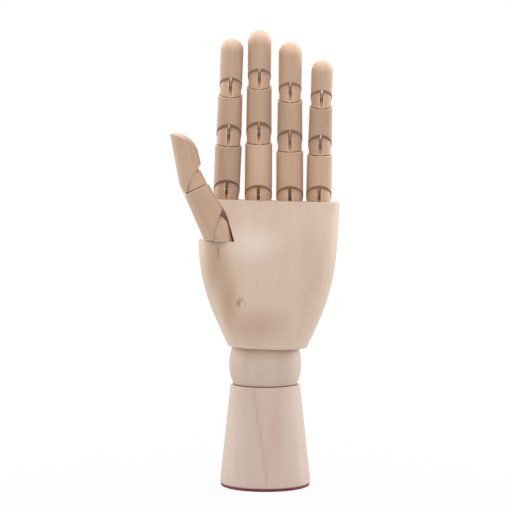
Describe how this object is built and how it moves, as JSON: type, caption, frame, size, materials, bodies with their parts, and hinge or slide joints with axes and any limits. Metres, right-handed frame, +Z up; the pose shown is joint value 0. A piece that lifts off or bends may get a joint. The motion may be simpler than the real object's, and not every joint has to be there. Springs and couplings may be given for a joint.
{
  "type": "wooden hand mannequin",
  "caption": "Jointed wooden left hand on a turned forearm base; each finger and the thumb bend at slotted knuckles, and the wrist turns and leans.",
  "frame": {"origin": "centre of the felt underside, where the base stands on a table", "axes": "+Z up the forearm, -Y is the palm side, -X is the thumb side"},
  "size_m": [0.0925, 0.05, 0.2491],
  "materials": {
    "palm_wood": "fine sanded, unvarnished",
    "turned_wood": "turned, unvarnished",
    "finger_wood": "fine sanded, unvarnished",
    "felt": "dark red felt",
    "steel": "bright wire",
    "brass": "plain bush"
  },
  "bodies": {
    "base": {"base": "turned_wood", "base_felt": "felt", "wrist_spring": "steel", "wrist_washers": "steel"},
    "wrist": {"wrist_barrel": "turned_wood", "wrist_pin": "steel", "wrist_bolt": "steel", "wrist_nut": "steel"},
    "wrist_tie": {"wrist_eyebolt": "steel", "eyebolt_nut": "steel"},
    "palm": {"palm": "palm_wood", "palm_bush": "brass", "finger_base_pins": "steel", "index_base_knuckle": "finger_wood", "middle_base_knuckle": "finger_wood", "ring_base_knuckle": "finger_wood", "pinky_base_knuckle": "finger_wood"},
    "thumb_base": {"thumb_base_knuckle": "finger_wood", "thumb_base_pin": "steel"},
    "thumb_proximal": {"thumb_proximal": "finger_wood", "thumb_proximal_hook_and_pin": "steel", "thumb_tip_knuckle": "finger_wood"},
    "thumb_distal": {"thumb_distal": "finger_wood", "thumb_distal_hook": "steel"},
    "index_proximal": {"index_proximal": "finger_wood", "index_proximal_hook_and_pin": "steel", "index_middle_knuckle": "finger_wood"},
    "index_middle": {"index_middle": "finger_wood", "index_middle_hook_and_pin": "steel", "index_tip_knuckle": "finger_wood"},
    "index_distal": {"index_distal": "finger_wood", "index_distal_hook": "steel"},
    "middle_proximal": {"middle_proximal": "finger_wood", "middle_proximal_hook_and_pin": "steel", "middle_middle_knuckle": "finger_wood"},
    "middle_middle": {"middle_middle": "finger_wood", "middle_middle_hook_and_pin": "steel", "middle_tip_knuckle": "finger_wood"},
    "middle_distal": {"middle_distal": "finger_wood", "middle_distal_hook": "steel"},
    "ring_proximal": {"ring_proximal": "finger_wood", "ring_proximal_hook_and_pin": "steel", "ring_middle_knuckle": "finger_wood"},
    "ring_middle": {"ring_middle": "finger_wood", "ring_middle_hook_and_pin": "steel", "ring_tip_knuckle": "finger_wood"},
    "ring_distal": {"ring_distal": "finger_wood", "ring_distal_hook": "steel"},
    "pinky_proximal": {"pinky_proximal": "finger_wood", "pinky_proximal_hook_and_pin": "steel", "pinky_middle_knuckle": "finger_wood"},
    "pinky_middle": {"pinky_middle": "finger_wood", "pinky_middle_hook_and_pin": "steel", "pinky_tip_knuckle": "finger_wood"},
    "pinky_distal": {"pinky_distal": "finger_wood", "pinky_distal_hook": "steel"}
  },
  "joints": [
    {"name": "wrist_turn", "type": "hinge", "parent": "base", "child": "wrist", "pos_m": [0, 0, 0.0559], "axis": [0, 0, 1], "continuous": true},
    {"name": "wrist_bend", "type": "hinge", "parent": "wrist", "child": "wrist_tie", "pos_m": [0, 0, 0.06709], "axis": [1, 0, 0], "range_deg": [-20, 20]},
    {"name": "palm_turn", "type": "hinge", "parent": "wrist_tie", "child": "palm", "pos_m": [0, 0, 0.06709], "axis": [0.0262, 0, 0.9997], "range_deg": [-60, 60]},
    {"name": "thumb_turn", "type": "hinge", "parent": "palm", "child": "thumb_base", "pos_m": [-0.02552, -0.0135, 0.13538], "axis": [-0.0262, 0, -0.9997], "range_deg": [-30, 2]},
    {"name": "thumb_base_bend", "type": "hinge", "parent": "thumb_base", "child": "thumb_proximal", "pos_m": [-0.02734, -0.0135, 0.14214], "axis": [0, 1, 0], "range_deg": [0, 5]},
    {"name": "thumb_tip_bend", "type": "hinge", "parent": "thumb_proximal", "child": "thumb_distal", "pos_m": [-0.0402, -0.0135, 0.16946], "axis": [0, -1, 0], "range_deg": [-35, 0]},
    {"name": "index_base_bend", "type": "hinge", "parent": "palm", "child": "index_proximal", "pos_m": [-0.02127, 0.0075, 0.16328], "axis": [0.999, 0, -0.0436], "range_deg": [-9, 46]},
    {"name": "index_middle_bend", "type": "hinge", "parent": "index_proximal", "child": "index_middle", "pos_m": [-0.01993, 0.00263, 0.19397], "axis": [0.999, 0, -0.0436], "range_deg": [-11, 49]},
    {"name": "index_tip_bend", "type": "hinge", "parent": "index_middle", "child": "index_distal", "pos_m": [-0.01878, -0.00696, 0.2203], "axis": [0.999, 0, -0.0436], "range_deg": [-6, 54]},
    {"name": "middle_base_bend", "type": "hinge", "parent": "palm", "child": "middle_proximal", "pos_m": [-0.00383, 0.0075, 0.16022], "axis": [1, 0, -0.0087], "range_deg": [-9, 46]},
    {"name": "middle_middle_bend", "type": "hinge", "parent": "middle_proximal", "child": "middle_middle", "pos_m": [-0.00353, 0.00196, 0.19518], "axis": [1, 0, -0.0087], "range_deg": [-11, 49]},
    {"name": "middle_tip_bend", "type": "hinge", "parent": "middle_middle", "child": "middle_distal", "pos_m": [-0.00327, -0.00885, 0.22488], "axis": [1, 0, -0.0087], "range_deg": [-6, 54]},
    {"name": "ring_base_bend", "type": "hinge", "parent": "palm", "child": "ring_proximal", "pos_m": [0.01352, 0.0075, 0.15957], "axis": [1, 0, 0.0017], "range_deg": [-9, 46]},
    {"name": "ring_middle_bend", "type": "hinge", "parent": "ring_proximal", "child": "ring_middle", "pos_m": [0.01346, 0.00253, 0.19092], "axis": [1, 0, 0.0017], "range_deg": [-11, 49]},
    {"name": "ring_tip_bend", "type": "hinge", "parent": "ring_middle", "child": "ring_distal", "pos_m": [0.01342, -0.00721, 0.21771], "axis": [1, 0, 0.0017], "range_deg": [-6, 54]},
    {"name": "pinky_base_bend", "type": "hinge", "parent": "palm", "child": "pinky_proximal", "pos_m": [0.0296, 0.0075, 0.16015], "axis": [0.9999, 0, -0.0157], "range_deg": [-9, 46]},
    {"name": "pinky_middle_bend", "type": "hinge", "parent": "pinky_proximal", "child": "pinky_middle", "pos_m": [0.03004, 0.00303, 0.18839], "axis": [0.9999, 0, -0.0157], "range_deg": [-11, 49]},
    {"name": "pinky_tip_bend", "type": "hinge", "parent": "pinky_middle", "child": "pinky_distal", "pos_m": [0.03044, -0.00621, 0.21376], "axis": [0.9999, 0, -0.0157], "range_deg": [-6, 54]}
  ]
}
